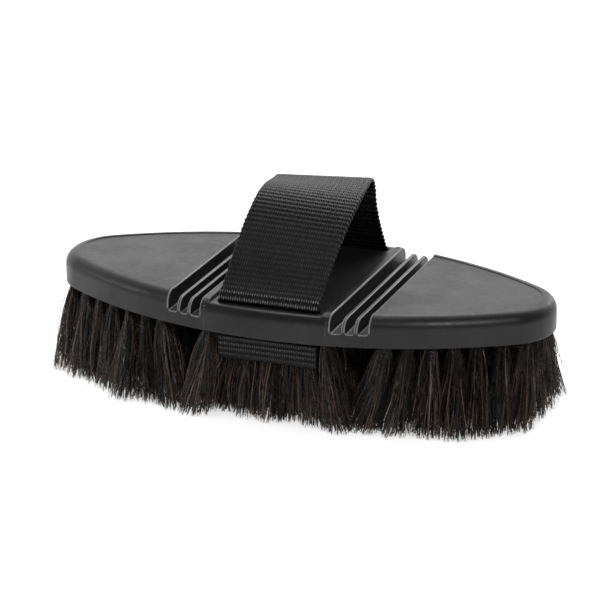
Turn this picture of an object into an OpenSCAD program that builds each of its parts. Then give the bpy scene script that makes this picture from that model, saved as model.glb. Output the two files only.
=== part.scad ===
// Flexible three-section body brush with a webbing hand strap.
// Frame: origin at the middle of the trimmed bristle face, +X along the back, +Y across it, +Z up.

/* [Back] */
// Half of the back's length
half_length = 100; // [96:1:106]
// Half of the back's greatest width
half_width = 46; // [44:1:50]
// Radius of the back's two ends in plan
end_radius = 22; // [19:1:26]
// Thickness of the back
back_t = 12.2; // [11.5:0.1:14]
// Radius of the shoulder round the top edge
shoulder_r = 5; // [3:0.5:6]
// Width of the raised border round each wing's top
border_w = 5.6; // [5.2:0.2:8]
// Depth of the wing's top field below its border
field_depth = 0.3; // [0.2:0.1:0.6]

/* [Centre section] */
// Half of the centre section's length along the back
centre_half = 26.2; // [25.8:0.2:27]
// Width of the raised ridge beside each inner groove
ridge_w = 3.8; // [3:0.2:4.5]
// Depth of the floor between the two ridges
floor_depth = 1.2; // [0.6:0.2:2.4]

/* [Grooves and ribs] */
// Width of the groove between the centre and the inner rib
inner_groove = 4; // [3.6:0.1:4.2]
// Width of the groove between the two ribs
middle_groove = 3.2; // [3:0.1:3.6]
// Width of the groove between the outer rib and the wing
outer_groove = 3.8; // [3.6:0.1:4]
// Thickness of each rib
rib_t = 1.5; // [1.3:0.1:1.7]
// How far the ribs' tops lie below the wings' tops
rib_drop = 1.6; // [1:0.2:2.4]
// Thickness of the flexing web under each groove
web_t = 5.2; // [4.8:0.1:5.6]
// Running gap at each flexing line
hinge_gap = 0.2; // [0.15:0.05:0.25]

/* [Bristles] */
// Length of the bristles below the back
bristle_len = 32.5; // [26:0.5:40]
// Diameter of each drilled tuft hole
hole_d = 4.3; // [3.8:0.1:4.3]
// Depth of each tuft hole
hole_depth = 7; // [6:0.5:7.5]
// Diameter of a tuft across its trimmed tips
tip_d = 7.3; // [5:0.1:7.3]
// Distance from the side wall to the outermost tuft centres
rim_inset = 5; // [4.6:0.2:6]
// Distance between tuft rows on a wing
wing_pitch = 7.9; // [7.7:0.1:8]
// Distance between tuft rows on the centre section
centre_pitch = 7.75; // [7.7:0.05:7.8]
// Place of the first tuft row on a wing
first_wing_row = 45; // [44:0.5:46]
// Outward lean of the tufts at the far end of a wing, in degrees
end_lean = 8; // [0:1:10]
// Outward lean of the tufts along the long sides, in degrees
side_lean = 4; // [0:1:4]

/* [Hand strap] */
// Width of the webbing
strap_w = 40; // [30:1:40]
// Thickness of the webbing
strap_t = 1.6; // [1.2:0.1:1.8]
// Distance of each strap slot from the middle of the back
strap_reach = 38.7; // [38:0.1:39]
// Slope at which the near leg leaves its slot, in degrees
near_rise = 53; // [48:1:58]
// Slope of the far leg where it leaves the crest, in degrees
crest_drop = 72; // [70:1:74]
// Slope of the far leg just above its slot, in degrees
far_steep = 80; // [79:1:84]
// Radius of the bend at the crest
crest_r = 10; // [9:0.5:12]
// Radius of the bend above each slot
foot_r = 4; // [3:0.5:5]
// Depth of the doubled-back end below the back
tail_depth = 11.5; // [9:0.5:13]

/* [Hidden] */
$fn = 96;

// Levels
back_z = bristle_len;
top_z = back_z + back_t;
web_top_z = back_z + web_t;
flex_z = back_z + web_t / 2;
floor_z = top_z - floor_depth;

// The plan outline: two long arcs joined by two end arcs that they touch smoothly
end_x = half_length - end_radius;
side_radius = (end_x * end_x + half_width * half_width - end_radius * end_radius)
    / (2 * (half_width - end_radius));
side_y = side_radius - half_width;
join_angle = atan2(side_y, end_x);
join_x = end_x + end_radius * cos(join_angle);
// The plane across a wing where its long sides give way to its round end
end_cut = end_x + (end_radius - shoulder_r / 2) * cos(join_angle);
outside = 3 * half_width;

// Groove, rib and flexing-line places along the back
inner_rib_x = centre_half + inner_groove;
outer_rib_x = inner_rib_x + rib_t + middle_groove;
wing_x = outer_rib_x + rib_t + outer_groove;
flex_inner = centre_half + inner_groove / 2;
flex_middle = inner_rib_x + rib_t + middle_groove / 2;
flex_outer = outer_rib_x + rib_t + outer_groove / 2;
knuckle_r = web_t / 2 - 0.2;
socket_r = knuckle_r + hinge_gap;
// The webs stop this far short of a flexing line, on either side
web_end = 1;

// Tufts
rows = 7;
tuft_pitch = 8;
root_r = hole_d / 2 - 0.05;
tip_r = tip_d / 2;
root_len = hole_depth - 0.2;
wire_t = 0.5;
wire_h = 1.6;
wire_bite = 0.4;
wire_w = hole_d + 2 * wire_bite;
wire_low = hole_depth - 2.6;
// The outermost centre rows run past the strap slots; the others stop beside them
slot_play = 1.6;
slot_w = strap_t + slot_play;
slot_len = strap_w + 0.6;
hole_wall = 0.8;
beside_slot = strap_reach - slot_w / 2 - hole_d / 2 - hole_wall;

// Half of the back's width at a place along it
function outline(x) = x < join_x
    ? sqrt(side_radius * side_radius - x * x) - side_y
    : sqrt(end_radius * end_radius - (x - end_x) * (x - end_x));

// Places across a row of tufts that reaches as far as limit on both sides
function across(limit) = let (n = round(2 * limit / tuft_pitch))
    [for (i = [0:n]) -limit + i * 2 * limit / n];

function wing_row_x(row) = first_wing_row + (row - 1) * wing_pitch;
function centre_row_x(row) = (row - (rows + 1) / 2) * centre_pitch;
function wing_limit(x) = outline(x) - rim_inset;
function centre_limit(x) = abs(x) < slot_len / 2
    ? min(beside_slot, wing_limit(abs(x))) : wing_limit(abs(x));

// Strap centreline: legs of [radius, turn in degrees], or [length] for a straight leg
tail_gap = 2.2;
tail_below = 1.5;
fold_r = tail_gap / 2;
tail_len = tail_depth - fold_r - strap_t / 2 - tail_below;
slot_len_z = floor_z - back_z + tail_depth - fold_r - strap_t / 2;
span_y = 2 * strap_reach - foot_r * (1 - cos(90 - near_rise)) - foot_r * (1 - sin(far_steep))
    - crest_r * sin(crest_drop);
fall_z = crest_r * (1 - cos(crest_drop)) + foot_r * cos(far_steep)
    - foot_r * sin(90 - near_rise);
// The near leg's and far leg's radii that bring both feet to their slots at one level
near_y = sin(near_rise);
near_z = 1 - cos(near_rise);
far_y = sin(far_steep) - sin(crest_drop);
far_z = cos(crest_drop) - cos(far_steep);
near_r = (span_y * far_z + fall_z * far_y) / (near_y * far_z + near_z * far_y);
far_r = (span_y - near_y * near_r) / far_y;
strap_legs = [
    [tail_len], [fold_r, 180], [slot_len_z],
    [foot_r, near_rise - 90], [near_r, -near_rise], [crest_r, -crest_drop],
    [far_r, crest_drop - far_steep], [foot_r, far_steep - 90],
    [slot_len_z], [fold_r, 180], [tail_len]];

// The point reached after a leg, and every point and heading along all the legs
function step_to(p, a, r, turn) = let (s = sign(turn))
    [p[0] + s * r * (sin(a + turn) - sin(a)), p[1] - s * r * (cos(a + turn) - cos(a))];
function trace(legs, i, p, a) = i == len(legs) ? []
    : len(legs[i]) == 1
        ? let (q = p + legs[i][0] * [cos(a), sin(a)]) concat([[q, a]], trace(legs, i + 1, q, a))
        : let (r = legs[i][0], turn = legs[i][1],
               n = max(2, ceil(abs(turn) / 12), ceil(abs(turn) * r / 290)),
               arc = [for (k = [1:n]) [step_to(p, a, r, turn * k / n), a + turn * k / n]])
          concat(arc, trace(legs, i + 1, arc[n - 1][0], a + turn));
strap_start = [-strap_reach - tail_gap, back_z - tail_below];
strap_path = concat([[strap_start, -90]], trace(strap_legs, 0, strap_start, -90));
function beside(side) = [for (s = strap_path) s[0] + side * strap_t / 2 * [-sin(s[1]), cos(s[1])]];
function reversed(v) = [for (i = [len(v) - 1:-1:0]) v[i]];

// A disc whose top edge is rounded as the back's shoulder is
module rim_profile(radius, top) {
    steps = 8;
    polygon(concat(
        [[0, back_z], [radius, back_z]],
        [for (i = [0:steps]) let (a = 90 * i / steps)
            [radius - shoulder_r * (1 - cos(a)), top - shoulder_r * (1 - sin(a))]],
        [[0, top]]));
}

// The back's middle stretch, between its two long sides
module long_sides(top) {
    intersection() {
        translate([0, -side_y, 0]) rotate_extrude($fn = 360) rim_profile(side_radius, top);
        translate([0, side_y, 0]) rotate_extrude($fn = 360) rim_profile(side_radius, top);
    }
}

// A straight bar across the back from x0 to x1, between two levels
module bar(x0, x1, z0, z1) {
    translate([x0, -outside / 2, z0]) cube([x1 - x0, outside, z1 - z0]);
}

module rod(x, radius) {
    translate([x, outside / 2, flex_z]) rotate([90, 0, 0]) cylinder(h = outside, r = radius);
}

// The web inboard of a flexing line ends in a round knuckle along it
module knuckle(from_x, flex_x) {
    bar(from_x, flex_x - web_end, back_z, web_top_z);
    rod(flex_x, knuckle_r);
}

// The web outboard of a flexing line has a round socket along it
module socket_web(flex_x, to_x) {
    difference() {
        bar(flex_x + web_end, to_x, back_z, web_top_z);
        rod(flex_x, socket_r);
    }
}

// Stands its children at a tuft's root, leaning outwards as its hole does
module at_tuft(x, y, lean_x, lean_y) {
    translate([x, y, back_z]) rotate([lean_y, -lean_x, 0]) children();
}

module on_wing_row(row) {
    x = wing_row_x(row);
    limit = wing_limit(x);
    for (y = across(limit))
        at_tuft(x, y, end_lean * (row - 1) / (rows - 1), side_lean * y / limit) children();
}

module on_centre_row(row) {
    x = centre_row_x(row);
    limit = centre_limit(x);
    for (y = across(limit)) at_tuft(x, y, 0, side_lean * y / half_width) children();
}

module hole() {
    translate([0, 0, -2]) cylinder(h = hole_depth + 2, d = hole_d);
}

module wire(length) {
    translate([-length / 2, -wire_t / 2, wire_low]) cube([length, wire_t, wire_h]);
}

// A tuft: a round root folded over its wire, and bristles that spread to the trimmed face
module tuft() {
    spread = (tip_r - root_r) / bristle_len;
    reach = bristle_len + 3;
    difference() {
        union() {
            translate([0, 0, -reach]) cylinder(h = reach, r1 = root_r + spread * reach, r2 = root_r);
            cylinder(h = root_len, r = root_r);
        }
        wire(hole_d + 1);
    }
}

module trimmed() {
    intersection() {
        children();
        translate([-2 * half_length, -outside, 0])
            cube([4 * half_length, 2 * outside, top_z]);
    }
}

// A wing before drilling: the long sides up to where they meet the end, then the rounded end
module right_wing_form() {
    intersection() {
        long_sides(top_z);
        bar(wing_x, end_cut, back_z - 1, top_z + 1);
    }
    intersection() {
        translate([end_x, 0, 0]) rotate_extrude($fn = 180) rim_profile(end_radius, top_z);
        bar(end_cut, 2 * half_length, back_z - 1, top_z + 1);
    }
}

module wing_field() {
    deep = field_depth + 1;
    translate([0, 0, top_z - field_depth]) {
        intersection() {
            translate([0, -side_y, 0]) cylinder(h = deep, r = side_radius - border_w, $fn = 360);
            translate([0, side_y, 0]) cylinder(h = deep, r = side_radius - border_w, $fn = 360);
            translate([wing_x - 1, -outside, 0]) cube([end_x - wing_x + 1, 2 * outside, deep]);
        }
        intersection() {
            translate([end_x, 0, 0]) cylinder(h = deep, r = end_radius - border_w, $fn = 180);
            translate([end_x - 0.01, -outside, 0]) cube([end_radius, 2 * outside, deep]);
        }
    }
}

module wing_side() {
    difference() {
        union() {
            right_wing_form();
            intersection() {
                long_sides(top_z);
                socket_web(flex_outer, wing_x + 1);
            }
        }
        rod(flex_outer, socket_r);
        wing_field();
        for (row = [1:rows]) on_wing_row(row) hole();
    }
}

module inner_rib() {
    intersection() {
        long_sides(top_z - rib_drop);
        difference() {
            union() {
                socket_web(flex_inner, inner_rib_x + rib_t);
                bar(inner_rib_x, inner_rib_x + rib_t, back_z, top_z);
                knuckle(inner_rib_x + rib_t, flex_middle);
            }
            rod(flex_inner, socket_r);
        }
    }
}

module outer_rib() {
    intersection() {
        long_sides(top_z - rib_drop);
        difference() {
            union() {
                socket_web(flex_middle, outer_rib_x + rib_t);
                bar(outer_rib_x, outer_rib_x + rib_t, back_z, top_z);
                knuckle(outer_rib_x + rib_t, flex_outer);
            }
            rod(flex_middle, socket_r);
        }
    }
}

module centre_block() {
    floor_half = centre_half - ridge_w;
    color([0.12, 0.12, 0.13]) difference() {
        intersection() {
            long_sides(top_z);
            union() {
                bar(-centre_half, centre_half, back_z - 1, top_z + 1);
                knuckle(centre_half, flex_inner);
                mirror([1, 0, 0]) knuckle(centre_half, flex_inner);
            }
        }
        bar(-floor_half, floor_half, floor_z, top_z + 1);
        for (side = [-1, 1])
            translate([-slot_len / 2, side * strap_reach - slot_w / 2, back_z - 1])
                cube([slot_len, slot_w, back_t + 2]);
        for (row = [1:rows]) on_centre_row(row) hole();
    }
}

module right_wing() {
    color([0.13, 0.13, 0.14]) wing_side();
}

module left_wing() {
    color([0.13, 0.13, 0.14]) mirror([1, 0, 0]) wing_side();
}

module right_inner_rib() {
    color([0.11, 0.11, 0.12]) inner_rib();
}

module left_inner_rib() {
    color([0.11, 0.11, 0.12]) mirror([1, 0, 0]) inner_rib();
}

module right_outer_rib() {
    color([0.11, 0.11, 0.12]) outer_rib();
}

module left_outer_rib() {
    color([0.11, 0.11, 0.12]) mirror([1, 0, 0]) outer_rib();
}

// One length of webbing: folded end, near slot, arch, far slot, folded end
module hand_strap() {
    color([0.05, 0.05, 0.05]) translate([-strap_w / 2, 0, 0]) rotate([90, 0, 90])
        linear_extrude(strap_w) polygon(concat(beside(1), reversed(beside(-1))));
}

module centre_tufts(row) {
    color([0.10, 0.08, 0.07]) trimmed() on_centre_row(row) tuft();
}

module right_tufts(row) {
    color([0.10, 0.08, 0.07]) trimmed() on_wing_row(row) tuft();
}

module left_tufts(row) {
    mirror([1, 0, 0]) right_tufts(row);
}

module centre_anchors() {
    color("silver") for (row = [1:rows]) on_centre_row(row) wire(wire_w);
}

module right_anchors() {
    color("silver") for (row = [1:rows]) on_wing_row(row) wire(wire_w);
}

module left_anchors() {
    mirror([1, 0, 0]) right_anchors();
}

centre_block();
left_wing();
right_wing();
left_inner_rib();
left_outer_rib();
right_inner_rib();
right_outer_rib();
hand_strap();
centre_anchors();
left_anchors();
right_anchors();
for (row = [1:rows]) {
    left_tufts(row);
    centre_tufts(row);
    right_tufts(row);
}
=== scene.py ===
"""A flexible body brush: horsehair tufts in a ribbed black plastic back, with a webbing hand strap."""

import math

import bmesh
import bpy
import numpy as np
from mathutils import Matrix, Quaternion, Vector, noise


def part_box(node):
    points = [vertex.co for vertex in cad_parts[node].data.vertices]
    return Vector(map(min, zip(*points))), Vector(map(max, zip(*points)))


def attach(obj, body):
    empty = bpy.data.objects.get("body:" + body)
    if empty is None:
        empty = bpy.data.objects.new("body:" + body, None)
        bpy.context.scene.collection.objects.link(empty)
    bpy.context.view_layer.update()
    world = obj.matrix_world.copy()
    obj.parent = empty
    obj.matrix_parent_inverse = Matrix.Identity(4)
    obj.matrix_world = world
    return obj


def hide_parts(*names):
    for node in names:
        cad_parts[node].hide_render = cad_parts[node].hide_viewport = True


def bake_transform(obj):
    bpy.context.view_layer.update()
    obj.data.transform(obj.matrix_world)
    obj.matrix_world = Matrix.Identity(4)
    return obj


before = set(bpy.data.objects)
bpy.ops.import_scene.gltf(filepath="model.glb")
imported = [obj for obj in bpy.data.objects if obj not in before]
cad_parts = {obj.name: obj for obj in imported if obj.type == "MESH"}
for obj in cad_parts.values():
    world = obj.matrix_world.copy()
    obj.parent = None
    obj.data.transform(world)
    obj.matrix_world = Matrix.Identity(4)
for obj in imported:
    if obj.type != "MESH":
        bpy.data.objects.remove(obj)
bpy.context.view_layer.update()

MM = 0.001
# Lengths are in mm.
BACK_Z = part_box("right_wing")[0].z / MM
TOP_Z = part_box("right_wing")[1].z / MM
HALF_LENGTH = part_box("right_wing")[1].x / MM
HALF_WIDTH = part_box("centre_block")[1].y / MM
END_RADIUS = 22.0
SHOULDER = 5.0
BORDER = 5.6
FIELD = 0.3
CENTRE_HALF = 26.2
RIBS = [(30.2, 31.7), (34.9, 36.4)]
WING_X = 40.2
RIDGE = 3.8
RIDGE_CROWN = 0.5
FLOOR_Z = TOP_Z - 1.2
RIB_TOP = TOP_Z - 1.6
WEB_TOP = BACK_Z + 5.2
# Rounding of the webs, the grooves' edges and the underside's edge
FILLET = 0.9
EDGE = 0.45
LIP = 0.15
FOOT_EDGE = 0.4
WEB_CLEAR = 0.2
MEETING = 0.5
SHARP = math.radians(38)

END_X = HALF_LENGTH - END_RADIUS
SIDE_R = (END_X**2 + HALF_WIDTH**2 - END_RADIUS**2) / (2 * (HALF_WIDTH - END_RADIUS))
SIDE_Y = SIDE_R - HALF_WIDTH
JOIN = math.atan2(SIDE_Y, END_X)

# The strap's size, slopes and ends
STRAP_HALF = 20.0
STRAP_T = 1.6
STRAP_REACH = 38.7
STRAP_NEAR = math.radians(53)
STRAP_CREST = math.radians(72)
STRAP_FAR = math.radians(80)
CREST_R = 10.0
FOOT_R = 4.0
TAIL_GAP = 2.2
TAIL_DEPTH = 11.5
TAIL_BELOW = 1.5
SLOT = (37.1, 40.3)
SLOT_HALF = 20.3

# Tufts: rows, spacing, and how their hairs spread and lean (degrees)
ROWS = 7
WING_ROW = 45.0
WING_PITCH = 7.9
CENTRE_PITCH = 7.75
TUFT_PITCH = 8.0
RIM_INSET = 5.0
BESIDE_SLOT = 34.15
SIDE_LEAN = 12.5
TUFT_R = 2.0
TIP_R = 6.2
TRIM = -0.25
WISPS = 75
TUFT_LEAN = 2.0
RIM_HAIRS = 420
INNER_HAIRS = 110
OUTER_SHARE = 0.72
HAIR_RINGS = 7
STRAY_SHARE = 0.09
STRAY_REACH = 4.5
FRAY_ENDS = 420
FRAY_RINGS = 4
TUBE_SIDES = 3


# ---------------------------------------------------------------- materials


def node_material(name, colour, roughness):
    """A principled material and its node tree."""
    material = bpy.data.materials.new(name)
    material.use_nodes = True
    tree = material.node_tree
    shader = tree.nodes["Principled BSDF"]
    shader.inputs["Base Color"].default_value = (*colour, 1)
    shader.inputs["Roughness"].default_value = roughness
    return material, tree, shader


def object_noise(tree, scale, detail=4.0, stretch=(1, 1, 1)):
    """Noise laid over each piece's own space, which all pieces share at rest."""
    coords = tree.nodes.new("ShaderNodeTexCoord")
    mapping = tree.nodes.new("ShaderNodeMapping")
    mapping.inputs["Scale"].default_value = stretch
    tree.links.new(coords.outputs["Object"], mapping.inputs["Vector"])
    texture = tree.nodes.new("ShaderNodeTexNoise")
    texture.inputs["Scale"].default_value = scale
    texture.inputs["Detail"].default_value = detail
    tree.links.new(mapping.outputs["Vector"], texture.inputs["Vector"])
    return texture.outputs["Fac"]


def ramp(tree, source, stops):
    """A colour ramp through (place, colour) stops."""
    node = tree.nodes.new("ShaderNodeValToRGB")
    elements = node.color_ramp.elements
    while len(elements) < len(stops):
        elements.new(0.5)
    for element, (place, colour) in zip(elements, stops):
        element.position = place
        element.color = (*colour, 1)
    tree.links.new(source, node.inputs["Fac"])
    return node.outputs["Color"]


def grey(value):
    return (value, value, value)


def bump(tree, shader, sources):
    """Stacks bumps of (height source, distance in mm, strength)."""
    normal = None
    for height, distance, strength in sources:
        node = tree.nodes.new("ShaderNodeBump")
        node.inputs["Strength"].default_value = strength
        node.inputs["Distance"].default_value = distance * MM
        tree.links.new(height, node.inputs["Height"])
        if normal:
            tree.links.new(normal, node.inputs["Normal"])
        normal = node.outputs["Normal"]
    tree.links.new(normal, shader.inputs["Normal"])


def plastic_material():
    """Matte black moulded plastic: fine grain, cloudy patches and scuffs, and a painted highlight that
    makes the grooves' edges paler.
    """
    material, tree, shader = node_material("moulded plastic", (0.022, 0.022, 0.023), 0.45)
    clouds = object_noise(tree, 55, 3)
    scuffs = object_noise(tree, 420, 8, (0.8, 1.2, 1.0))
    # painted highlight: the grooves' edges are made paler in the base colour, where their rounding catches
    # the light
    rim = tree.nodes.new("ShaderNodeAttribute")
    rim.attribute_name = "rim"
    added = tree.nodes.new("ShaderNodeVectorMath")
    added.operation = "ADD"
    base = ramp(tree, clouds, [(0.3, (0.006, 0.006, 0.0065)), (0.7, (0.014, 0.014, 0.0145))])
    tree.links.new(base, added.inputs[0])
    tree.links.new(ramp(tree, rim.outputs["Fac"], [(0.0, grey(0)), (1.0, grey(0.17))]), added.inputs[1])
    tree.links.new(added.outputs["Vector"], shader.inputs["Base Color"])
    mixed = tree.nodes.new("ShaderNodeMath")
    mixed.operation = "MULTIPLY_ADD"
    tree.links.new(scuffs, mixed.inputs[0])
    mixed.inputs[1].default_value = 0.24
    tree.links.new(ramp(tree, clouds, [(0.32, grey(0.34)), (0.68, grey(0.21))]), mixed.inputs[2])
    tree.links.new(mixed.outputs["Value"], shader.inputs["Roughness"])
    shader.inputs["Specular IOR Level"].default_value = 0.28
    grain = object_noise(tree, 2600, 2)
    dimples = object_noise(tree, 420, 3)
    bump(tree, shader, [(dimples, 0.06, 0.45), (grain, 0.03, 0.8)])
    return material


def flash_material():
    """Stress-whitened plastic along the mould's parting line."""
    material, tree, shader = node_material("parting flash", (0.2, 0.2, 0.2), 0.6)
    fleck = object_noise(tree, 1900, 3)
    tree.links.new(
        ramp(tree, fleck, [(0.42, (0.02, 0.02, 0.02)), (0.66, (0.2, 0.2, 0.195))]),
        shader.inputs["Base Color"],
    )
    return material


def webbing_material():
    """Black yarn: fine fibres along the weave, with a painted highlight on the tops of its woven bumps and
    painted shade in the gaps between them.
    """
    material, tree, shader = node_material("webbing yarn", (0.012, 0.011, 0.011), 0.42)
    shader.inputs["Specular IOR Level"].default_value = 0.2
    uv = tree.nodes.new("ShaderNodeUVMap")
    uv.uv_map = "OFBake"
    mapping = tree.nodes.new("ShaderNodeMapping")
    mapping.inputs["Scale"].default_value = (60, 900, 1)
    tree.links.new(uv.outputs["UV"], mapping.inputs["Vector"])
    fibre = tree.nodes.new("ShaderNodeTexNoise")
    fibre.inputs["Scale"].default_value = 1.0
    fibre.inputs["Detail"].default_value = 3.0
    tree.links.new(mapping.outputs["Vector"], fibre.inputs["Vector"])
    painted_bead_light = tree.nodes.new("ShaderNodeAttribute")
    painted_bead_light.attribute_name = "painted_bead_light"
    # painted shade in the gaps (near-black) up to a painted highlight on the tops (pale grey)
    painted_light_stops = [(0.0, grey(0.001)), (0.22, grey(0.008)), (0.5, grey(0.085)), (1.0, (0.5, 0.49, 0.47))]
    yarn = tree.nodes.new("ShaderNodeVectorMath")
    yarn.operation = "MULTIPLY"
    tree.links.new(ramp(tree, painted_bead_light.outputs["Fac"], painted_light_stops), yarn.inputs[0])
    tree.links.new(ramp(tree, fibre.outputs["Fac"], [(0.35, grey(0.6)), (0.7, grey(1.3))]), yarn.inputs[1])
    tree.links.new(yarn.outputs["Vector"], shader.inputs["Base Color"])
    lint = object_noise(tree, 900, 2)
    tree.links.new(
        ramp(tree, lint, [(0.3, grey(0.28)), (0.7, grey(0.42))]), shader.inputs["Roughness"]
    )
    bump(tree, shader, [(fibre.outputs["Fac"], 0.04, 0.6)])
    return material


def hair_material():
    """Horsehair: near black to tan strands. u runs along a strand and v is the strand's own tone."""
    material, tree, shader = node_material("horsehair", (0.02, 0.015, 0.012), 0.4)
    uv = tree.nodes.new("ShaderNodeUVMap")
    uv.uv_map = "OFBake"
    parts = tree.nodes.new("ShaderNodeSeparateXYZ")
    tree.links.new(uv.outputs["UV"], parts.inputs["Vector"])
    tone = ramp(
        tree,
        parts.outputs["Y"],
        [
            (0.0, (0.003, 0.0027, 0.0027)),
            (0.55, (0.008, 0.0062, 0.0055)),
            (0.74, (0.040, 0.026, 0.018)),
            (0.90, (0.15, 0.090, 0.057)),
            (0.97, (0.26, 0.19, 0.145)),
            (1.0, (0.50, 0.45, 0.40)),
        ],
    )
    # painted shade: each hair darkens towards its root, where the tufts crowd under the back, and turns
    # paler towards its tip
    along = ramp(tree, parts.outputs["X"], [(0.0, grey(0.35)), (0.5, grey(0.85)), (1.0, grey(1.2))])
    mixed = tree.nodes.new("ShaderNodeVectorMath")
    mixed.operation = "MULTIPLY"
    tree.links.new(tone, mixed.inputs[0])
    tree.links.new(along, mixed.inputs[1])
    tree.links.new(mixed.outputs["Vector"], shader.inputs["Base Color"])
    kink = object_noise(tree, 700, 2)
    tree.links.new(ramp(tree, kink, [(0.3, grey(0.2)), (0.7, grey(0.4))]), shader.inputs["Roughness"])
    return material


def steel_material():
    """Drawn steel wire of the staples that hold the tufts."""
    material, tree, shader = node_material("staple wire", (0.55, 0.55, 0.56), 0.3)
    shader.inputs["Metallic"].default_value = 1.0
    streak = object_noise(tree, 900, 4, (0.15, 2.5, 2.5))
    tree.links.new(ramp(tree, streak, [(0.3, grey(0.2)), (0.7, grey(0.42))]), shader.inputs["Roughness"])
    return material


def floor_material():
    """Plain white studio floor."""
    material, tree, shader = node_material("studio floor", (0.9, 0.9, 0.9), 0.8)
    tree.links.new(
        ramp(tree, object_noise(tree, 2, 2), [(0.0, grey(0.66)), (1.0, grey(0.675))]),
        shader.inputs["Base Color"],
    )
    shader.inputs["Specular IOR Level"].default_value = 0.1
    shader.inputs["Emission Color"].default_value = (1, 1, 1, 1)
    shader.inputs["Emission Strength"].default_value = 0.62
    return material


# ---------------------------------------------------------------- meshes


def mesh_object(name, points, faces, material, weighted=True, rim_highlights=None):
    """A mesh object from points in mm, and how much painted highlight each point gets along a groove's
    edge.
    """
    mesh = bpy.data.meshes.new(name)
    mesh.from_pydata((np.asarray(points) * MM).tolist(), [], faces)
    if rim_highlights is not None:
        rim = mesh.attributes.new("rim", "FLOAT", "POINT")
        rim.data.foreach_set("value", np.array(rim_highlights, np.float32))
    mesh.validate()
    mesh.polygons.foreach_set("use_smooth", [True] * len(mesh.polygons))
    mesh.set_sharp_from_angle(angle=SHARP)
    mesh.materials.append(material)
    obj = bpy.data.objects.new(name, mesh)
    bpy.context.scene.collection.objects.link(obj)
    if weighted:
        modifier = obj.modifiers.new("normals", "WEIGHTED_NORMAL")
        modifier.keep_sharp = True
    return obj


def grid_faces(rows, columns, first=0, wrap=False):
    """Quads over a grid of points stored row by row."""
    faces = []
    for r in range(rows if wrap else rows - 1):
        a, b = r * columns, ((r + 1) % rows) * columns
        faces += [
            (first + a + c, first + a + c + 1, first + b + c + 1, first + b + c)
            for c in range(columns - 1)
        ]
    return faces


def fast_mesh(name, points, quads, uvs, material, painted_yarn_light=None):
    """A large quad mesh with its own UV layer, from arrays in mm, and each point's painted yarn light:
    highlight on the woven bumps, shade between them.
    """
    mesh = bpy.data.meshes.new(name)
    mesh.vertices.add(len(points))
    mesh.vertices.foreach_set("co", (points * MM).astype(np.float32).ravel())
    mesh.loops.add(quads.size)
    mesh.loops.foreach_set("vertex_index", quads.astype(np.int32).ravel())
    mesh.polygons.add(len(quads))
    mesh.polygons.foreach_set("loop_start", np.arange(0, quads.size, 4, dtype=np.int32))
    mesh.polygons.foreach_set("use_smooth", np.ones(len(quads), dtype=bool))
    layer = mesh.uv_layers.new(name="OFBake")
    layer.data.foreach_set("uv", uvs.astype(np.float32).ravel())
    if painted_yarn_light is not None:
        mesh.attributes.new("painted_bead_light", "FLOAT", "POINT").data.foreach_set("value", painted_yarn_light.astype(np.float32))
    mesh.update(calc_edges=True)
    mesh.materials.append(material)
    obj = bpy.data.objects.new(name, mesh)
    bpy.context.scene.collection.objects.link(obj)
    return obj


# ---------------------------------------------------------------- the back


def side_half(x, inset=0.0):
    """Half of the back's width at x along its long sides, at an inset from the wall."""
    return math.sqrt((SIDE_R - inset) ** 2 - x * x) - SIDE_Y


def shoulder_inset(z, top):
    """How far the wall has leant in at level z under a shoulder that ends at top."""
    drop = min(max((z - (top - SHOULDER)) / SHOULDER, 0.0), 1.0)
    return SHOULDER * (1 - math.sqrt(1 - drop * drop))


def above_web(z):
    """0 beside the webs, rising to 1 where a groove's wall stands clear of them."""
    return min(max((z - WEB_TOP - WEB_CLEAR) / FILLET, 0.0), 1.0)


def rim_highlight_at(z, advance):
    """1 where a painted highlight lightens a groove's edge, above the webs, and 0 elsewhere."""
    return above_web(z) * (EDGE * 0.25 < advance < EDGE + 0.1)


def side_profile(top):
    """Rows of (inset, level, outward, upward) from under the back's edge to its flat top."""
    rows = [(2.0, BACK_Z, 0.0, -1.0)]
    for i in range(4):
        a = math.radians(90 * i / 3)
        out, down = math.sin(a), math.cos(a)
        rows.append((FOOT_EDGE * (1 - out), BACK_Z + FOOT_EDGE * (1 - down), out, -down))
    for z in np.linspace(BACK_Z + FOOT_EDGE, top - SHOULDER, 9)[1:]:
        rows.append((0.0, float(z), 1.0, 0.0))
    for i in range(1, 11):
        a = math.radians(9 * i)
        out, up = math.cos(a), math.sin(a)
        rows.append((SHOULDER * (1 - out), top - SHOULDER * (1 - up), out, up))
    return rows


def on_side(x, side, row, shave):
    """A point of a profile row at x on the -Y or +Y side, shaved along its normal above the webs."""
    inset, z, out, up = row
    shave *= above_web(z)
    radius = SIDE_R - inset
    y = side_half(x, inset)
    nx, ny = x / radius, side * (y + SIDE_Y) / radius
    return (x - shave * out * nx, side * y - shave * out * ny, z - shave * up)


def rounding(lip=0.0):
    """(advance, shave) pairs over a rounded edge and its raised lip, from the groove's face inwards."""
    pairs = []
    for i in range(5):
        a = math.radians(90 - 22.5 * i)
        pairs.append((EDGE * (1 - math.sin(a)), EDGE * (1 - math.cos(a)) - lip * (1 - math.sin(a))))
    if lip:
        pairs += [(EDGE + 0.3, -0.65 * lip), (EDGE + 0.65, 0.0)]
    return pairs


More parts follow.
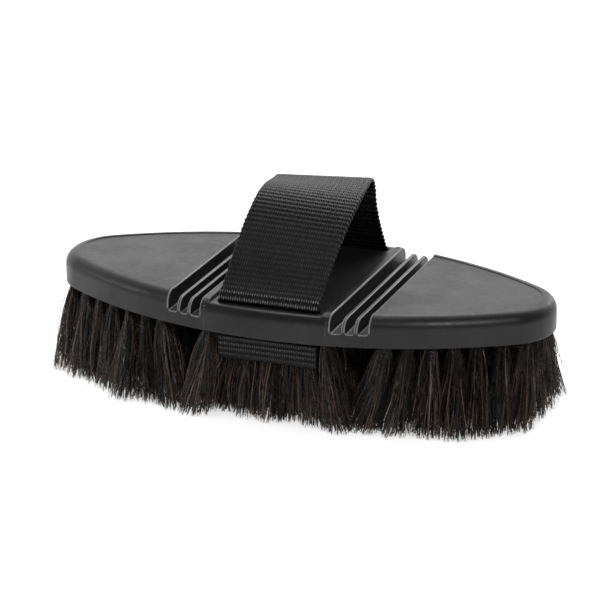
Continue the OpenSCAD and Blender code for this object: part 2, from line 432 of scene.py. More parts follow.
def wing_shell(name, sign, material):
    """A wing: wall, shoulder, border and sunk field, closed across the groove's face."""
    rows = side_profile(TOP_Z)
    rows += [
        (BORDER - 0.28, TOP_Z + 0.02, 0, 1),
        (BORDER - 0.12, TOP_Z - 0.02, 0, 1),
        (BORDER + 0.02, TOP_Z - 0.16, 0, 1),
        (BORDER + 0.16, TOP_Z - FIELD - 0.03, 0, 1),
        (BORDER + 0.4, TOP_Z - FIELD, 0, 1),
        (BORDER + 1.6, TOP_Z - FIELD, 0, 1),
    ]
    edge = rounding(LIP)
    points, rim_highlights = [], []
    for row in rows:
        inset, z = row[0], row[1]
        # painted highlight along the groove's edge
        lit = [rim_highlight_at(z, advance) for advance, _ in edge]
        join_x = END_X + (END_RADIUS - inset) * math.cos(JOIN)
        near = [on_side(WING_X + advance, -1, row, shave) for advance, shave in edge]
        start = WING_X + edge[-1][0]
        near += [
            on_side(start + (join_x - start) * t, -1, row, 0)
            for t in np.linspace(0, 1, 17)[1:-1]
        ]
        tip = [
            (
                END_X + (END_RADIUS - inset) * math.cos(b),
                (END_RADIUS - inset) * math.sin(b),
                z,
            )
            for b in np.linspace(-JOIN, JOIN, 41)
        ]
        far = [(x, -y, z3) for x, y, z3 in reversed(near)]
        points += near + tip + far
        dull = [0.0] * (len(near) + len(tip) + len(far) - 2 * len(lit))
        rim_highlights += lit + dull + lit[::-1]
    columns = len(points) // len(rows)
    faces = grid_faces(len(rows), columns)
    last = (len(rows) - 1) * columns
    for base in (0, last):
        for c in range(len(edge) - 1):
            faces.append((base + c, base + c + 1, base + columns - 2 - c, base + columns - 1 - c))
        ring = [base + c for c in range(len(edge) - 1, columns - len(edge) + 1)]
        faces.append(tuple(ring if base == 0 else reversed(ring)))
    # winding of the two cross strips and the cap is put right by recalculating below
    cap = [r * columns for r in range(len(rows))]
    cap += [r * columns + columns - 1 for r in reversed(range(len(rows)))]
    faces.append(tuple(cap))
    points = np.array(points, float)
    points[:, 0] *= sign
    return consistent(mesh_object(name, points, faces, material, rim_highlights=rim_highlights))


def consistent(obj):
    """Turns every face of a closed shell outwards."""
    work = bmesh.new()
    work.from_mesh(obj.data)
    bmesh.ops.recalc_face_normals(work, faces=work.faces)
    work.to_mesh(obj.data)
    work.free()
    return obj


def slab_shell(name, x0, x1, top, levels, middles, lip, material):
    """A slice of the back from x0 to x1. levels(x) caps its height and middles are the inner columns."""
    rows = side_profile(top)
    edge = rounding(lip)
    columns = [(x0 + advance, shave) for advance, shave in edge]
    columns += [(x, 0.0) for x in middles]
    columns += [(x1 - advance, shave) for advance, shave in reversed(edge)]
    inner = [(14.0, top, 0, 1), (28.0, top, 0, 1)]
    points, rim_highlights = [], []
    for side, listed in ((-1, rows + inner), (1, list(reversed(rows + inner)))):
        for row in listed:
            for x, shave in columns:
                px, py, pz = on_side(x, side, row, shave)
                if levels and row[3] >= 0:
                    pz = soft_min(pz, levels(x) - shave, MEETING)
                points.append((px, py, pz))
                # painted highlight along the groove's edges
                rim_highlights.append(rim_highlight_at(row[1], min(x - x0, x1 - x)))
    count = len(points) // len(columns)
    faces = grid_faces(count, len(columns), wrap=True)
    faces.append(tuple(r * len(columns) for r in range(count)))
    faces.append(tuple(r * len(columns) + len(columns) - 1 for r in reversed(range(count))))
    return consistent(mesh_object(name, points, faces, material, rim_highlights=rim_highlights))


def soft_min(a, b, k):
    """The smaller of two heights, with a rounded meeting of radius about k."""
    h = min(max(0.5 + 0.5 * (b - a) / k, 0.0), 1.0)
    return b * (1 - h) + a * h - k * h * (1 - h)


def centre_level(x):
    """Height of the centre section's top at x: a sunk floor between two rounded ridges."""
    inner = CENTRE_HALF - RIDGE - 0.35
    rise = min(max((abs(x) - inner) / 1.1, 0.0), 1.0)
    place = min(max((abs(x) - inner) / (CENTRE_HALF - inner), 0.0), 1.0)
    crown = RIDGE_CROWN * (2 * place - 1) ** 2
    return FLOOR_Z + (TOP_Z + 0.15 - crown - FLOOR_Z) * rise * rise * (3 - 2 * rise)


def slot_cutter(side):
    """A slot's shape with flared lips, to be cut out of the centre section."""
    middle = side * (SLOT[0] + SLOT[1]) / 2
    half = (SLOT[1] - SLOT[0]) / 2
    levels = [(BACK_Z - 1, 1.4), (BACK_Z + 0.1, 0.5), (BACK_Z + 0.7, 0.0)]
    levels += [(FLOOR_Z - 0.8, 0.0), (FLOOR_Z - 0.45, 0.1), (FLOOR_Z - 0.1, 0.42), (FLOOR_Z + 2.0, 1.5)]
    points = []
    for z, flare in levels:
        a, b, corner = SLOT_HALF + flare, half + flare, 0.9 + flare
        for k in range(4):
            for i in range(4):
                turn = math.radians(90 * k + 30 * i)
                cx = (a - corner) * (1 if k in (0, 3) else -1)
                cy = (b - corner) * (1 if k in (0, 1) else -1)
                points.append((cx + corner * math.cos(turn), middle + cy + corner * math.sin(turn), z))
    around = 16
    faces = []
    for r in range(len(levels) - 1):
        for c in range(around):
            n = (c + 1) % around
            faces.append((r * around + c, r * around + n, (r + 1) * around + n, (r + 1) * around + c))
    faces.append(tuple(reversed(range(around))))
    faces.append(tuple((len(levels) - 1) * around + c for c in range(around)))
    return mesh_object("slot_cutter", points, faces, bpy.data.materials["moulded plastic"])


def cut(obj, cutters):
    """Cuts the cutters out of obj for good and drops them."""
    for cutter in cutters:
        modifier = obj.modifiers.new("cut", "BOOLEAN")
        modifier.operation, modifier.solver, modifier.object = "DIFFERENCE", "EXACT", cutter
    # the boolean modifiers go before the one that sets the normals
    obj.modifiers.move(0, len(obj.modifiers) - 1)
    bpy.context.view_layer.update()
    obj.modifiers["normals"].show_viewport = False
    depsgraph = bpy.context.evaluated_depsgraph_get()
    depsgraph.update()
    made = bpy.data.meshes.new_from_object(obj.evaluated_get(depsgraph))
    obj.modifiers["normals"].show_viewport = True
    for modifier in [m for m in obj.modifiers if m.type == "BOOLEAN"]:
        obj.modifiers.remove(modifier)
    obj.data = made
    for cutter in cutters:
        bpy.data.objects.remove(cutter)
    made.set_sharp_from_angle(angle=SHARP)


def web_strip(name, x0, x1, top0, top1, sign, material):
    """The web under one groove: a trough with filleted sides and a rounded front edge."""
    radius = min(FILLET, (x1 - x0) / 2 - 0.05)
    curve = []
    for i in range(9):
        a = math.radians(90 * i / 8)
        out, up = math.cos(a), math.sin(a)
        curve.append((x0 + radius * (1 - out), WEB_TOP + radius * (1 - up), out, up))
    curve.append(((x0 + x1) / 2, WEB_TOP, 0.0, 1.0))
    curve += [(x0 + x1 - x, z, -nx, nz) for x, z, nx, nz in reversed(curve[:9])]
    middle = len(curve) // 2

    def column(i, side):
        x, z, nx, nz = curve[i]
        # the wall stops at the neighbours, and a hair's breadth keeps its columns apart
        cx = min(max(x - EDGE * nx, x0), x1) + (i - middle) * 0.003
        cz = z - EDGE * nz
        share = min(max((cx - x0) / (x1 - x0), 0), 1)
        top = top0 + (top1 - top0) * share

        def wall(level):
            return side_half(cx, shoulder_inset(level, top))

        listed = [(cx, side * (wall(BACK_Z) - 2.0), BACK_Z)]
        for i in range(4):
            a = math.radians(30 * i)
            y = wall(BACK_Z) - FOOT_EDGE * (1 - math.sin(a))
            listed.append((cx, side * y, BACK_Z + FOOT_EDGE * (1 - math.cos(a))))
        for f in np.linspace(0, 1, 6)[1:-1]:
            level = BACK_Z + FOOT_EDGE + (cz - BACK_Z - FOOT_EDGE) * f
            listed.append((cx, side * wall(level), level))
        centre = wall(cz) - EDGE
        for i in range(5):
            a = math.radians(90 * i / 4)
            listed.append(
                (
                    cx + (x - cx) * math.sin(a),
                    side * (centre + EDGE * math.cos(a)),
                    cz + EDGE * nz * math.sin(a),
                )
            )
        return listed

    near = [column(i, -1) for i in range(len(curve))]
    far = [list(reversed(column(i, 1))) for i in range(len(curve))]
    loops = [n + f for n, f in zip(near, far)]
    count = len(loops[0])
    points = [loop[r] for r in range(count) for loop in loops]
    faces = grid_faces(count, len(loops), wrap=True)
    faces.append(tuple(r * len(loops) for r in range(count)))
    faces.append(tuple(r * len(loops) + len(loops) - 1 for r in reversed(range(count))))
    points = np.array(points, float)
    points[:, 0] *= sign
    # painted highlight on the rounded edge between the web's front and its top
    half = [0.0] * (count // 2 - 5) + [0.0, 1.0, 1.0, 1.0, 0.0]
    rim_highlights = [rim for rim in half + half[::-1] for _ in loops]
    return consistent(mesh_object(name, points, faces, material, rim_highlights=rim_highlights))


def flash_line(name, x, side, seed, material):
    """Whitened flash along a parting line, up a wall and over its shoulder, with crumbs at its top."""
    rng = np.random.default_rng(seed)
    points = []
    profile = [r for r in side_profile(TOP_Z) if r[1] > BACK_Z + 1.0]
    path = []
    for a, b in zip(profile, profile[1:]):
        for t in (0.0, 0.25, 0.5, 0.75):
            path.append([a[k] * (1 - t) + b[k] * t for k in range(4)])
    path += [[SHOULDER + 0.6 * k, TOP_Z, 0.0, 1.0] for k in range(4)]
    for i, (inset, z, out, up) in enumerate(path):
        present = noise.noise(Vector((i * 0.37, seed * 3.1, 0))) + 0.25
        height = 0.07 * max(present, 0.03) + 0.01
        width = 0.05 + 0.09 * max(present, 0.0)
        wander = 0.10 * noise.noise(Vector((i * 0.21, seed * 1.7, 4)))
        section = ((-width, -0.05), (-width * 0.4, height), (width * 0.4, height), (width, -0.05))
        for shift, lift in section:
            base = on_side(x + wander + shift, side, (inset, z, out, up), 0)
            level = soft_min(base[2], centre_level(x), MEETING)
            points.append((base[0], base[1] + side * lift * out, level + lift * up))
    count = len(path)
    faces = grid_faces(count, 4)
    for _ in range(9):
        k = int(rng.uniform(0.45, 0.9) * count)
        inset, z, out, up = path[k]
        px, py, pz = on_side(x + rng.normal(0, 0.35), side, (inset, z, out, up), -0.03)
        pz = soft_min(pz, centre_level(x) + 0.03, MEETING)
        size = rng.uniform(0.12, 0.34)
        first = len(points)
        for ring, high in ((1.0, -0.3), (0.8, 0.35), (0.35, 0.6)):
            for i in range(6):
                turn = math.radians(60 * i) + rng.uniform(-0.2, 0.2)
                spread = size * ring * rng.uniform(0.75, 1.25)
                points.append(
                    (
                        px + spread * math.cos(turn),
                        py + side * out * high * size + spread * up * math.sin(turn),
                        pz + up * high * size + spread * out * math.sin(turn),
                    )
                )
        for r in range(2):
            for i in range(6):
                n = (i + 1) % 6
                low, high = first + r * 6, first + (r + 1) * 6
                faces.append((low + i, low + n, high + n, high + i))
        faces.append(tuple(first + 12 + i for i in range(6)))
    obj = mesh_object(name, points, faces, material, weighted=False)
    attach(obj, "centre")


def build_back(plastic, flash):
    """The seven sections of the back and the six webs between them."""
    columns = [*np.linspace(-24.9, -21.8, 14), -18, -12, -6, 0]
    columns += [-x for x in reversed(columns[:-1])]
    centre = slab_shell(
        "centre_shell", -CENTRE_HALF, CENTRE_HALF, TOP_Z, centre_level, columns, LIP, plastic
    )
    cut(centre, [slot_cutter(-1), slot_cutter(1)])
    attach(centre, "centre")
    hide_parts("centre_block")
    for i, (x, side) in enumerate(((-24.4, -1), (24.4, -1), (-24.4, 1), (24.4, 1))):
        flash_line(f"parting_flash_{i + 1}", x, side, 11 + i, flash)

    for word, sign in (("left", -1), ("right", 1)):
        wing = wing_shell(f"{word}_wing_shell", sign, plastic)
        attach(wing, f"{word}_wing")
        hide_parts(f"{word}_wing")
        for which, (x0, x1) in zip(("inner", "outer"), RIBS):
            a, b = sorted((sign * x0, sign * x1))
            rib = slab_shell(f"{word}_{which}_rib_fin", a, b, RIB_TOP, None, [(a + b) / 2], 0.0, plastic)
            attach(rib, f"{word}_{which}_rib")
            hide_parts(f"{word}_{which}_rib")
        webs = [
            ("inner", CENTRE_HALF, RIBS[0][0], TOP_Z, RIB_TOP, "centre", f"{word}_inner_rib"),
            ("middle", RIBS[0][1], RIBS[1][0], RIB_TOP, RIB_TOP, f"{word}_inner_rib", f"{word}_outer_rib"),
            ("outer", RIBS[1][1], WING_X, RIB_TOP, TOP_Z, f"{word}_outer_rib", f"{word}_wing"),
        ]
        for which, x0, x1, top0, top1, inboard, outboard in webs:
            web = web_strip(f"{word}_{which}_web", x0, x1, top0, top1, sign, plastic)
            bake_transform(web)


# ---------------------------------------------------------------- the strap


def strap_legs():
    """The strap's centreline as straight legs [length] and bends [radius, turn]."""
    rise, crest, far = STRAP_NEAR, STRAP_CREST, STRAP_FAR
    span = 2 * STRAP_REACH - FOOT_R * (1 - math.sin(rise)) - FOOT_R * (1 - math.sin(far))
    span -= CREST_R * math.sin(crest)
    fall = CREST_R * (1 - math.cos(crest)) + FOOT_R * math.cos(far) - FOOT_R * math.cos(rise)
    near_y, near_z = math.sin(rise), 1 - math.cos(rise)
    far_y, far_z = math.sin(far) - math.sin(crest), math.cos(crest) - math.cos(far)
    near_r = (span * far_z + fall * far_y) / (near_y * far_z + near_z * far_y)
    far_r = (span - near_y * near_r) / far_y
    fold = TAIL_GAP / 2
    tail = TAIL_DEPTH - fold - STRAP_T / 2 - TAIL_BELOW
    drop = FLOOR_Z - BACK_Z + TAIL_DEPTH - fold - STRAP_T / 2
    quarter = math.pi / 2
    return [
        [tail], [fold, math.pi], [drop],
        [FOOT_R, rise - quarter], [near_r, -rise], [CREST_R, -crest],
        [far_r, crest - far], [FOOT_R, far - quarter],
        [drop], [fold, math.pi], [tail],
    ]


def strap_at(places):
    """Points and headings in YZ at distances along the strap."""
    marks, p, a, run = [], np.array([-STRAP_REACH - TAIL_GAP, BACK_Z - TAIL_BELOW]), -math.pi / 2, 0.0
    for leg in strap_legs():
        length = leg[0] * (abs(leg[1]) if len(leg) == 2 else 1)
        marks.append((run, run + length, leg, p.copy(), a))
        if len(leg) == 1:
            p = p + leg[0] * np.array([math.cos(a), math.sin(a)])
        else:
            r, turn = leg
            s = math.copysign(1, turn)
            p = p + s * r * np.array([math.sin(a + turn) - math.sin(a), math.cos(a) - math.cos(a + turn)])
            a += turn
        run += length
    out = []
    for d in places:
        start, end, leg, q, b = next((m for m in marks if d <= m[1]), marks[-1])
        t = d - start
        if len(leg) == 1:
            out.append((*(q + t * np.array([math.cos(b), math.sin(b)])), b))
        else:
            s = math.copysign(1, leg[1])
            c = b + s * t / leg[0]
            shift = s * leg[0] * np.array([math.sin(c) - math.sin(b), math.cos(b) - math.cos(c)])
            out.append((*(q + shift), c))
    return np.array(out)


# Warps across the strap, its crosswise ribs' spacing and the beads' height
WARPS = 43
WARP_STEPS = 4
PERIOD = 2.04
STEP = PERIOD / 4
BEAD = 0.6
# How the arch sways: for each wave along it, shifts (x, y, y by side, z, z by side).
# FOOT_BULGE is the near foot's (place along the arch, height, width), and SLIP skews the ribs
SWAY = [(1.4, 3.5, 0.0, 4.7, 0.3), (1.8, 6.6, 0.1, 4.7, -1.3), (0.0, -1.0, -0.4, 2.1, -0.3)]
FOOT_BULGE = (1.7, 1.6, 2.0)
SLIP = 0.6


def weave_heights(places, columns, rng):
    """Height of the woven bumps over one face, crosswise ribs of side-by-side warps, and the painted
    highlight on their tops that fades to painted shade between them.
    """
    across = np.sin(np.pi * (columns % WARP_STEPS) / WARP_STEPS)
    warp = np.minimum(columns // WARP_STEPS, WARPS - 1)
    phase = 0.05 * (warp % 2) * PERIOD
    turn = np.abs(np.sin(np.pi * (places[:, None] - phase[None, :]) / PERIOD))
    uneven = 1 + 0.05 * rng.standard_normal((len(places), 1))
    uneven = uneven + 0.05 * rng.standard_normal((1, len(columns)))
    uneven = uneven + 0.06 * rng.standard_normal((len(places), len(columns)))
    place = ((places[:, None] - phase[None, :]) / PERIOD) % 1
    # painted highlight high on each woven bump's top, where light from above catches it
    crown = across[None, :] ** 2 * np.exp(-(((place - 0.58) / 0.22) ** 2)) * (2 * uneven - 1)
    return BEAD * (0.05 + 1.0 * across[None, :] ** 1.4) * (turn**0.7) * uneven, 0.5 * crown


def leg_lengths():
    return [leg[0] * (abs(leg[1]) if len(leg) == 2 else 1) for leg in strap_legs()]


def sway(places, side):
    """Shift (x, y, z) of the arch at distances along the strap, at side -1 to 1 across it."""
    legs = leg_lengths()
    start, arch = sum(legs[:3]), sum(legs[3:8])
    t = np.clip((places - start) / arch, 0, 1)
    shift = np.zeros((len(places), 3))
    for k, (x, y, y_side, z, z_side) in enumerate(SWAY):
        wave = np.sin((k + 1) * np.pi * t)
        shift[:, 0] += x * wave
        shift[:, 1] += (y + y_side * side) * wave
        shift[:, 2] += (z + z_side * side) * wave
    rise, height, width = FOOT_BULGE
    shift[:, 1] -= height * np.exp(-(((places - start - rise) / width) ** 2))
    return shift


def strap_sheet(places, sides):
    """Centre (x, y, z) and heading of the swayed strap at distances along it, for each side across it."""
    legs = leg_lengths()
    start, end = sum(legs[:3]), sum(legs[:8])
    grid = np.linspace(0, sum(legs), 1800)
    path = strap_at(grid)
    sheet = np.zeros((len(places), len(sides), 4))
    arch = (grid[1:] > start) & (grid[:-1] < end)
    t = np.clip((places - start) / (end - start), 0, 1)
    for c, side in enumerate(sides):
        line = np.column_stack([np.zeros(len(grid)), path[:, :2]]) + sway(grid, side)
        length = np.linalg.norm(np.diff(line, axis=0), axis=1)
        length[arch] *= np.diff(grid)[arch].sum() / length[arch].sum()
        length[~arch] = np.diff(grid)[~arch]
        run = np.concatenate([[0], np.cumsum(length)])
        turn = np.unwrap(np.arctan2(np.gradient(line[:, 2]), np.gradient(line[:, 1])))
        at = places - SLIP * side * np.sin(np.pi * t)
        for k, values in enumerate((line[:, 0], line[:, 1], line[:, 2], turn)):
            sheet[:, c, k] = np.interp(at, run, values)
    return sheet


def strap_piece(name, start, end, seed, material, smooth_at=None):
    """A length of woven webbing between two distances along the strap, both faces and both edges."""
    rng = np.random.default_rng(seed)
    places = np.arange(round(start / STEP), round(end / STEP) + 1) * STEP
    columns = np.arange(WARPS * WARP_STEPS + 1)
    spread = -STRAP_HALF + 2 * STRAP_HALF * columns / columns[-1]
    sheet = strap_sheet(places, spread / STRAP_HALF)
    scallop = 0.24 * np.sin(2 * np.pi * places / PERIOD + 0.6) + 0.07 * rng.standard_normal(len(places))
    edge = np.clip((np.abs(spread) - (STRAP_HALF - 0.9)) / 0.9, 0, 1)
    x = sheet[:, :, 0] + spread + np.sign(spread) * edge * scallop[:, None]
    thin = 1 - 0.55 * edge[None, :] ** 2
    foot = sum(leg_lengths()[:3])
    relief = 1 + 0.5 * np.exp(-(((places - foot - 2.0) / 2.2) ** 2))
    # painted highlight, strongest just above the near foot; in a tail it drops to nothing at the fold,
    # which leaves the fold as dark as the gaps
    shine = 1 + 1.1 * np.exp(-(((places - foot - 2.6) / 2.2) ** 2))
    if smooth_at is not None:
        relief = 1.15 * np.clip(np.abs(places - smooth_at) / 1.9, 0.2, 1)
        shine = 1.3 * np.clip(np.abs(places - smooth_at) / 1.9 - 0.3, 0, 1)
    faces, painted_yarn_light = [], []
    for face in (1, -1):
        heights, crown = weave_heights(places, columns, rng)
        painted_yarn_light.append((crown * shine[:, None]).ravel())
        lift = face * (STRAP_T / 2 - 0.38 + heights * relief[:, None]) * thin
        y = sheet[:, :, 1] - np.sin(sheet[:, :, 3]) * lift
        z = sheet[:, :, 2] + np.cos(sheet[:, :, 3]) * lift
        faces.append(np.stack([x, y, z], -1))
    n, m = len(places), len(columns)
    points = np.concatenate([f.reshape(-1, 3) for f in faces])
    r, c = np.meshgrid(np.arange(n - 1), np.arange(m - 1), indexing="ij")
    a = (r * m + c).ravel()
    outer = np.stack([a, a + m, a + m + 1, a + 1], 1)
    inner = np.stack([a, a + 1, a + m + 1, a + m], 1) + n * m
    k = np.arange(n - 1) * m
    low = np.stack([k, k + n * m, k + m + n * m, k + m], 1)
    k = k + m - 1
    high = np.stack([k, k + m, k + m + n * m, k + n * m], 1)
    j = np.arange(m - 1)
    begin = np.stack([j, j + 1, j + 1 + n * m, j + n * m], 1)
    j = j + (n - 1) * m
    finish = np.stack([j, j + n * m, j + 1 + n * m, j + 1], 1)
    quads = np.concatenate([outer, inner, low, high, begin, finish])
    u = np.tile(np.repeat((places - places[0]) / (places[-1] - places[0]), m), 2)
    half_v = columns / columns[-1] * 0.47
    v = np.concatenate([np.tile(half_v, n), np.tile(0.53 + half_v, n)])
    uv = np.stack([u, v], 1)[quads.ravel()]
    # faces (1, -1) lie left and right of the path, and the path's left is the strap's outer face
    uv = uv.reshape(-1, 4, 2)[:, ::-1].reshape(-1, 2)
    obj = fast_mesh(name, points, quads[:, ::-1], uv, material, np.concatenate(painted_yarn_light))
    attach(obj, "centre")
    return obj


def tubes(paths, radii, tones):
    """Thin tubes along paths (strands, rings, 3): points, quads and UVs."""
    strands, rings, _ = paths.shape
    along = np.gradient(paths, axis=1)
    along /= np.linalg.norm(along, axis=2, keepdims=True) + 1e-9
    ref = np.array([0.31, 0.95, 0.05])
    side = np.cross(along, ref)
    side /= np.linalg.norm(side, axis=2, keepdims=True) + 1e-9
    other = np.cross(along, side)
    turn = np.arange(TUBE_SIDES) * 2 * np.pi / TUBE_SIDES
    ring = (
        side[:, :, None, :] * np.cos(turn)[None, None, :, None]
        + other[:, :, None, :] * np.sin(turn)[None, None, :, None]
    )
    points = paths[:, :, None, :] + ring * radii[:, :, None, None]
    base = np.arange(strands)[:, None, None] * rings + np.arange(rings - 1)[None, :, None]
    base = base * TUBE_SIDES
    k = np.arange(TUBE_SIDES)[None, None, :]
    n = (k + 1) % TUBE_SIDES
    quads = np.stack([base + k, base + n, base + TUBE_SIDES + n, base + TUBE_SIDES + k], -1)
    quads = quads.reshape(-1, 4)
    step = 1 / (rings - 1)
    u0 = np.arange(rings - 1)[None, :, None] * step + np.zeros((strands, 1, TUBE_SIDES))
    wide = 0.0007
    v0 = tones[:, None, None] + k * wide / TUBE_SIDES + np.zeros((strands, rings - 1, 1))
    uv = np.stack(
        [
            np.stack([u0, v0], -1),
            np.stack([u0, v0 + wide / TUBE_SIDES], -1),
            np.stack([u0 + step, v0 + wide / TUBE_SIDES], -1),
            np.stack([u0 + step, v0], -1),
        ],
        3,
    ).reshape(-1, 2)
    return points.reshape(-1, 3), quads, uv


def fray(name, near, seed, material):
    """Loose yarn ends along the strap's cut end, under the back."""
    rng = np.random.default_rng(seed)
    count = FRAY_ENDS
    side = -1 if near else 1
    x = rng.uniform(-STRAP_HALF, STRAP_HALF, count)
    length = rng.uniform(0.5, 2.0, count) * (0.7 + 0.5 * rng.random(count))
    y = side * (STRAP_REACH + TAIL_GAP) + rng.uniform(-0.6, 0.6, count)
    z = np.full(count, BACK_Z - TAIL_BELOW - 0.35)
    root = np.stack([x, y, z], 1)
    up = rng.uniform(0.25, 1.0, count)
    way = np.stack([rng.normal(0, 0.5, count), side * rng.uniform(-0.1, 1.0, count), up], 1)
    way /= np.linalg.norm(way, axis=1, keepdims=True)
    curl = rng.normal(0, 0.35, (count, 3))
    t = np.linspace(0, 1, FRAY_RINGS)
    paths = root[:, None, :] + way[:, None, :] * (length[:, None] * t)[:, :, None]
    paths += curl[:, None, :] * (length[:, None] * t * t)[:, :, None]
    paths[:, :, 2] = np.minimum(paths[:, :, 2], BACK_Z - 0.05)
    radii = 0.075 * (1 - 0.6 * t)[None, :] * np.ones((count, 1))
    points, quads, uv = tubes(paths, radii, rng.uniform(0, 0.99, count))
    glow = np.repeat(rng.uniform(0, 0.5, count), FRAY_RINGS * TUBE_SIDES)
    obj = fast_mesh(name, points, quads, uv, material, glow)
    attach(obj, "centre")


def build_strap(material):
    """The strap in three lengths that meet inside its slots, with frayed cut ends."""
    total = sum(leg_lengths())
    inside = TAIL_DEPTH + 12.0
    near_fold = TAIL_DEPTH - TAIL_GAP / 2 - STRAP_T / 2 - TAIL_BELOW + math.pi * TAIL_GAP / 4
    arch = strap_piece("strap_arch", inside, total - inside, 3, material)
    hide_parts("hand_strap")
    strap_piece("strap_near_tail", 0, inside, 4, material, near_fold)
    strap_piece("strap_far_tail", total - inside, total, 5, material, total - near_fold)
    fray("strap_near_fray", True, 6, material)
    fray("strap_far_fray", False, 7, material)


# ---------------------------------------------------------------- the bristles


def outline_half(x):
    """Half of the back's width at x, its rounded ends included."""
    if x < END_X + END_RADIUS * math.cos(JOIN):
        return side_half(x)
    return math.sqrt(END_RADIUS**2 - (x - END_X) ** 2)


def across(limit):
    """Places across a row of tufts."""
    n = round(2 * limit / TUFT_PITCH)
    return [-limit + i * 2 * limit / n for i in range(n + 1)]


# Lean along x of each row's tufts, in degrees
WING_FLARE = [-11.0, -6.0, -1.5, 0.5, 0.5, 0.5, 0.0]
CENTRE_FLARE = [-8.0, -4.0, -1.0, 0.0, 1.0, 4.0, 8.0]


def wing_tufts(row):
    """(x, y, lean along x, lean along y, strands) of each tuft in a wing's row."""
    x = WING_ROW + (row - 1) * WING_PITCH
    limit = outline_half(x) - RIM_INSET
    rim = row in (1, ROWS)
    tufts = []
    for i, y in enumerate(across(limit)):
        edge = abs(y) / limit
        count = RIM_HAIRS if rim or edge > OUTER_SHARE else INNER_HAIRS
        tufts.append((x, y, WING_FLARE[row - 1], SIDE_LEAN * y / limit, count))
    return tufts


def centre_tufts(row):
    """The same for a row of the centre section."""
    x = (row - (ROWS + 1) / 2) * CENTRE_PITCH
    limit = outline_half(abs(x)) - RIM_INSET
    if abs(x) < SLOT_HALF:
        limit = min(BESIDE_SLOT, limit)
    tufts = []
    for y in across(limit):
        edge = abs(y) / limit
        count = RIM_HAIRS if row in (1, ROWS) or edge > OUTER_SHARE else INNER_HAIRS
        tufts.append((x, y, CENTRE_FLARE[row - 1], SIDE_LEAN * y / HALF_WIDTH, count))
    return tufts


def hair_row(name, body, node, tufts, sign, seed, material):
    """One row of tufts as single tapered hairs that spread, clump and part towards a trimmed face."""
    rng = np.random.default_rng(seed)
    t = np.linspace(0, 1, HAIR_RINGS)
    points, quads, uvs, offset = [], [], [], 0
    for x, y, lean_x, lean_y, count in tufts:
        start = BACK_Z + 0.8
        radial = np.sqrt(rng.random(count))
        angle = rng.uniform(0, 2 * np.pi, count)
        ray = np.stack([np.cos(angle), np.sin(angle)], 1)
        root = np.column_stack([np.array([x, y]) + TUFT_R * radial[:, None] * ray, np.full(count, start)])
        wisp_at = np.sqrt(rng.random(WISPS)) * TIP_R * 1.1
        wisp_turn = rng.uniform(0, 2 * np.pi, WISPS)
        wisp = np.stack([wisp_at * np.cos(wisp_turn), wisp_at * np.sin(wisp_turn)], 1)
        wisp_short = rng.gamma(1.2, 0.5, WISPS)
        own = ray * (radial * TIP_R * rng.uniform(0.6, 1.35, count))[:, None]
        own += rng.normal(0, 0.9, (count, 2))
        near = np.argmin(((own[:, None, :] - wisp[None, :, :]) ** 2).sum(2), 1)
        pull = rng.uniform(0.3, 0.95, count)[:, None]
        end = own * (1 - pull) + wisp[near] * pull
        stray = rng.random(count) < STRAY_SHARE
        strays = int(stray.sum())
        end[stray] += np.clip(rng.normal(0, 2.6, (strays, 2)), -STRAY_REACH, STRAY_REACH)
        low = TRIM + wisp_short[near] * 0.22 + rng.gamma(1.1, 0.2, count)
        low[stray] += rng.uniform(0, 7, strays)
        drop = start - low
        lean = np.array([lean_x, lean_y]) + rng.normal(0, TUFT_LEAN, 2)
        shift = np.tan(np.radians(lean))
        tip = np.array([x, y]) + shift * drop[:, None] + end
        ease = t[None, :] ** rng.uniform(0.85, 1.5, count)[:, None]
        flow = root[:, None, :2] + (tip - root[:, :2])[:, None, :] * ease[:, :, None]
        bow = rng.normal(0, 0.8, (WISPS, 2))[near] + rng.normal(0, 0.3, (count, 2))
        curl = rng.normal(0, 0.42, (WISPS, 2))[near] + rng.normal(0, 0.15, (count, 2))
        wave = bow[:, None, :] * np.sin(np.pi * t)[None, :, None]
        wave += curl[:, None, :] * np.sin(2 * np.pi * t)[None, :, None]
        kink = rng.normal(0, 0.09, (count, HAIR_RINGS, 2)) * t[None, :, None]
        flow = flow + wave + kink
        z = root[:, 2][:, None] - drop[:, None] * t[None, :]
        paths = np.concatenate([flow, z[:, :, None]], 2)
        thick = rng.uniform(0.075, 0.145, count)[:, None]
        radii = thick * (1 - 0.45 * np.clip((t - 0.45) / 0.55, 0, 1) ** 1.4)[None, :]
        shared = rng.random(count) < 0.5
        tone = np.where(shared, 0.9 * rng.random(WISPS)[near], 0.999 * rng.random(count))
        p, q, uv = tubes(paths, radii, tone)
        points.append(p)
        quads.append(q + offset)
        uvs.append(uv)
        offset += len(p)
    points = np.concatenate(points)
    points[:, 0] *= sign
    quads = np.concatenate(quads)
    uvs = np.concatenate(uvs)
    if sign < 0:
        quads = quads[:, ::-1]
        uvs = uvs.reshape(-1, 4, 2)[:, ::-1].reshape(-1, 2)
    obj = fast_mesh(name, points, quads, uvs, material)
    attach(obj, body)
    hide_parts(node)


def build_bristles(material):
    """All twenty-one rows."""
    for row in range(1, ROWS + 1):
        for word, sign in (("left", -1), ("right", 1)):
            hair_row(
                f"{word}_hair_{row}", f"{word}_wing", f"{word}_tufts_{row}",
                wing_tufts(row), sign, 100 * row + sign, material,
            )
        hair_row(
            f"centre_hair_{row}", "centre", f"centre_tufts_{row}",
            centre_tufts(row), 1, 900 + row, material,
        )


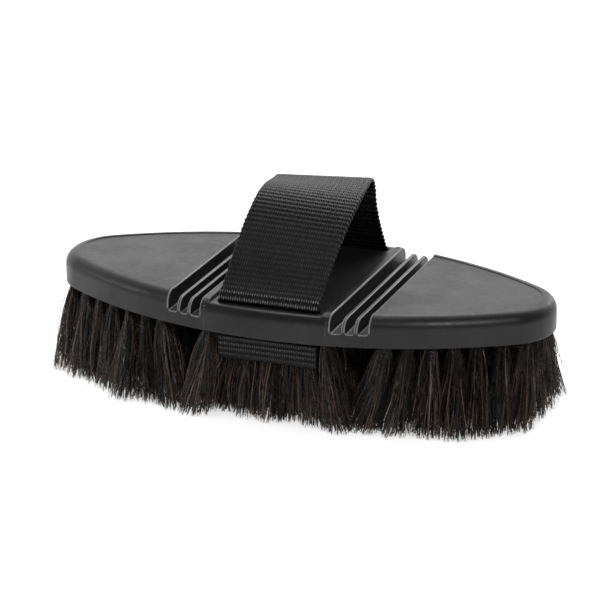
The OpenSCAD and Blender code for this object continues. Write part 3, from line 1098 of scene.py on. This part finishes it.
def loose_bristle(material):
    """One short bristle that sticks out from under the back's front edge."""
    rng = np.random.default_rng(77)
    t = np.linspace(0, 1, 5)
    y = -side_half(9.5) + 0.6
    path = np.stack([9.4 + 0.6 * t * t, y - 2.2 * t, BACK_Z - 0.3 - 2.4 * t + 1.6 * t * t], 1)[None]
    p, q, uv = tubes(path, np.full((1, 5), 0.13), rng.uniform(0, 0.3, 1))
    obj = fast_mesh("loose_bristle", p, q, uv, material)
    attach(obj, "centre")


# ---------------------------------------------------------------- studio


def aim(obj, target):
    obj.rotation_mode = "QUATERNION"
    obj.rotation_quaternion = (Vector(target) - obj.location).to_track_quat("-Z", "Y")


def softbox(name, place, target, size, power):
    data = bpy.data.lights.new(name, "AREA")
    data.shape, data.size, data.size_y, data.energy = "RECTANGLE", *size, power
    obj = bpy.data.objects.new(name, data)
    obj.location = place
    bpy.context.scene.collection.objects.link(obj)
    aim(obj, target)


def studio():
    """White floor, a bright surround that is dimmer on the viewer's side, and soft overhead light."""
    mesh = bpy.data.meshes.new("floor")
    half = 6.0
    level = -0.0004
    mesh.from_pydata(
        [(-half, -half, level), (half, -half, level), (half, half, level), (-half, half, level)],
        [],
        [(0, 1, 2, 3)],
    )
    mesh.materials.append(floor_material())
    floor = bpy.data.objects.new("floor", mesh)
    bpy.context.scene.collection.objects.link(floor)

    world = bpy.data.worlds.new("studio")
    bpy.context.scene.world = world
    world.use_nodes = True
    tree = world.node_tree
    background = tree.nodes["Background"]
    coords = tree.nodes.new("ShaderNodeTexCoord")
    facing = tree.nodes.new("ShaderNodeVectorMath")
    facing.operation = "DOT_PRODUCT"
    facing.inputs[1].default_value = (-0.36, 0.92, 0.05)
    tree.links.new(coords.outputs["Generated"], facing.inputs[0])
    shade = tree.nodes.new("ShaderNodeMapRange")
    shade.interpolation_type = "SMOOTHSTEP"
    shade.inputs["From Min"].default_value = -0.15
    shade.inputs["From Max"].default_value = 0.75
    shade.inputs["To Min"].default_value = 0.07
    shade.inputs["To Max"].default_value = 1.35
    tree.links.new(facing.outputs["Value"], shade.inputs["Value"])
    tree.links.new(shade.outputs["Result"], background.inputs["Strength"])
    background.inputs["Color"].default_value = (1, 1, 1, 1)

    softbox("overhead", (-0.15, 0.9, 1.1), (0, 0, 0.03), (1.2, 0.5), 9)
    softbox("left_fill", (-1.2, -0.5, 0.5), (-0.05, 0, 0.03), (0.5, 0.5), 3.2)
    softbox("right_glint", (0.61, -0.75, 0.83), (0.07, -0.03, 0.04), (0.14, 0.14), 5)
    softbox("behind", (0.36, 1.14, 0.54), (0.02, 0, 0.045), (0.25, 0.25), 2.2)
    softbox("top", (-0.3, 0.0, 1.2), (0, 0, 0.05), (0.16, 0.16), 2.6)


def camera():
    """The photograph's viewpoint."""
    azimuth, elevation, distance = math.radians(20.96), math.radians(19.82), 1.0856
    target = Vector((-0.00234, 0.0, TOP_Z * MM - 0.01212))
    data = bpy.data.cameras.new("camera")
    data.sensor_width, data.lens = 36.0, 167.8
    data.clip_start, data.clip_end = 0.05, 50
    obj = bpy.data.objects.new("camera", data)
    bpy.context.scene.collection.objects.link(obj)
    level = math.cos(elevation)
    back = Vector((math.sin(azimuth) * level, -math.cos(azimuth) * level, math.sin(elevation)))
    obj.location = target + back * distance
    aim(obj, target)
    obj.rotation_quaternion = obj.rotation_quaternion @ Quaternion((0, 0, 1), math.radians(-0.23))
    bpy.context.scene.camera = obj


def main():
    plastic = plastic_material()
    hair = hair_material()
    build_back(plastic, flash_material())
    build_strap(webbing_material())
    build_bristles(hair)
    loose_bristle(hair)
    steel = steel_material()
    for node in ("centre_anchors", "left_anchors", "right_anchors"):
        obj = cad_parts[node]
        obj.data.materials.clear()
        obj.data.materials.append(steel)
    studio()
    camera()
    bpy.context.scene.view_settings.view_transform = "Standard"


main()
